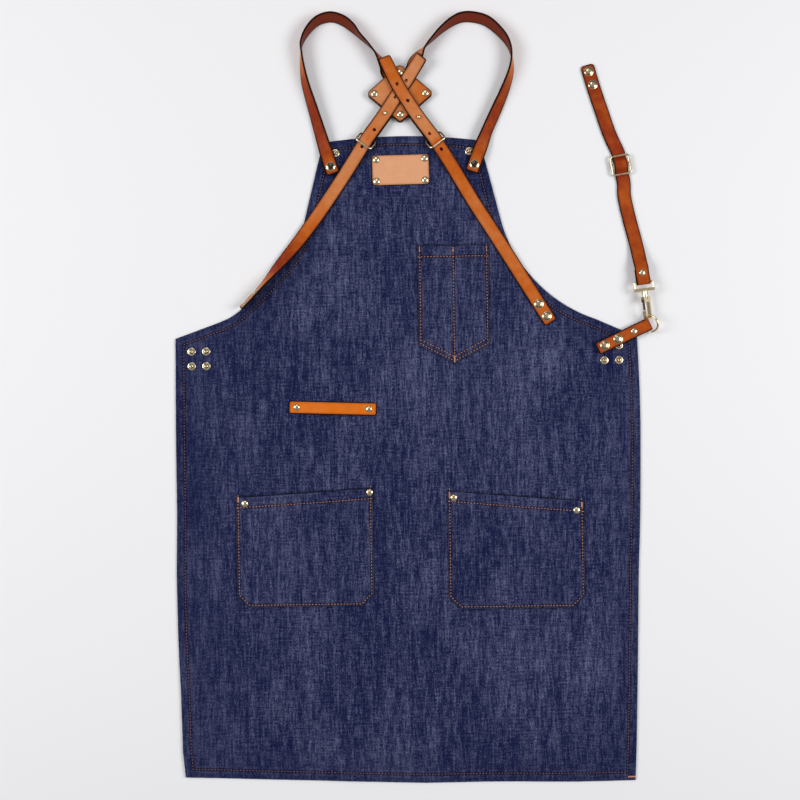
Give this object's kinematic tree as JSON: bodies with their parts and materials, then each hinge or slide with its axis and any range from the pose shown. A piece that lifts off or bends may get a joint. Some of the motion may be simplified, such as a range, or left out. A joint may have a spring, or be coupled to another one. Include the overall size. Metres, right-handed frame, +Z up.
{
  "type": "work apron",
  "caption": "Cross-back work apron laid flat: cloth bib apron with pouch pockets, riveted leather label and tool loop, leather harness held by snaps, and swivel-hook waist strap.",
  "frame": {"origin": "on the panel's centre line, level with the waist corners, on the underside that lies on the table", "axes": "+Y along the centre line towards the bib, +X to the side that carries the waist strap, +Z up off the surface"},
  "size_m": [0.6268, 0.9925, 0.0206],
  "materials": {
    "denim": "raw indigo twill, slubby, matte",
    "tan_leather": "natural vegetable-tanned leather, satin",
    "orange_leather": "waxed orange-tan leather, dark dyed edges",
    "brown_leather": "waxed red-brown leather, dark dyed edges",
    "pale_gold": "bright pale gold plating",
    "spring_steel": "bare spring steel"
  },
  "bodies": {
    "apron": {"apron_panel": "denim", "chest_pocket": "denim", "hand_pocket_left": "denim", "hand_pocket_right": "denim", "pocket_rivets": "pale_gold", "label_patch": "tan_leather", "label_rivets": "pale_gold", "tool_loop": "orange_leather", "tool_loop_rivets": "pale_gold", "side_studs_left": "pale_gold", "side_studs_right": "pale_gold", "bib_studs": "pale_gold", "rivet_backs": "pale_gold"},
    "harness": {"shoulder_strap_left": "brown_leather", "shoulder_strap_right": "brown_leather", "shoulder_snaps": "pale_gold", "cross_patch_back": "brown_leather", "cross_patch_front": "brown_leather", "cross_patch_rivets": "pale_gold", "button_studs": "pale_gold", "button_screws": "pale_gold", "back_strap_left": "orange_leather", "back_strap_right": "orange_leather", "back_strap_snaps": "pale_gold"},
    "loop_left": {"harness_loop_left": "pale_gold"},
    "loop_right": {"harness_loop_right": "pale_gold"},
    "tab": {"side_tab": "brown_leather", "side_tab_snaps": "pale_gold", "side_tab_rivet": "pale_gold"},
    "ring": {"d_ring": "pale_gold"},
    "hook": {"hook_body": "pale_gold", "gate_pin": "pale_gold", "gate_spring": "spring_steel"},
    "gate": {"hook_gate": "pale_gold"},
    "eye": {"swivel_eye": "pale_gold"},
    "belt": {"waist_strap": "brown_leather", "waist_strap_rivet": "pale_gold", "waist_strap_snaps": "pale_gold"},
    "buckle": {"slide_buckle": "pale_gold"}
  },
  "joints": [
    {"name": "harness_unsnap", "type": "slide", "parent": "apron", "child": "harness", "axis": [0, 0, 1], "range_m": [0, 0.03]},
    {"name": "loop_left_tilt", "type": "hinge", "parent": "harness", "child": "loop_left", "pos_m": [-0.04364, 0.25673, 0.0055], "axis": [-0.8039, 0.5948, 0], "range_deg": [0, 60]},
    {"name": "loop_right_tilt", "type": "hinge", "parent": "harness", "child": "loop_right", "pos_m": [0.03964, 0.25673, 0.0055], "axis": [-0.8039, -0.5948, 0], "range_deg": [0, 60]},
    {"name": "tab_turn", "type": "hinge", "parent": "apron", "child": "tab", "pos_m": [0.2585, -0.017, 0.0053], "axis": [0, 0, 1], "range_deg": [-3, 6]},
    {"name": "ring_lift", "type": "hinge", "parent": "tab", "child": "ring", "pos_m": [0.31469, 0.0092, 0.00525], "axis": [0.4226, -0.9063, 0], "range_deg": [0, 30]},
    {"name": "hook_lift", "type": "hinge", "parent": "ring", "child": "hook", "pos_m": [0.31477, 0.02096, 0.01126], "axis": [0.6721, 0.0278, 0.7399], "range_deg": [0, 15]},
    {"name": "gate_open", "type": "hinge", "parent": "hook", "child": "gate", "pos_m": [0.3073, 0.03924, 0.01608], "axis": [0.6648, 0.0757, 0.7431], "range_deg": [0, 25], "stiffness_Nm_per_rad": 0.02},
    {"name": "swivel_turn", "type": "hinge", "parent": "hook", "child": "eye", "pos_m": [0.31058, 0.04464, 0.0126], "axis": [-0.1132, 0.9936, 0], "continuous": true},
    {"name": "belt_swing", "type": "hinge", "parent": "eye", "child": "belt", "pos_m": [0.30839, 0.06382, 0.0126], "axis": [0.9936, 0.1132, 0], "range_deg": [0, 40]},
    {"name": "buckle_rock", "type": "hinge", "parent": "belt", "child": "buckle", "pos_m": [0.28289, 0.21682, 0.0049], "axis": [-0.9848, -0.1736, 0], "range_deg": [-3, 3]}
  ]
}
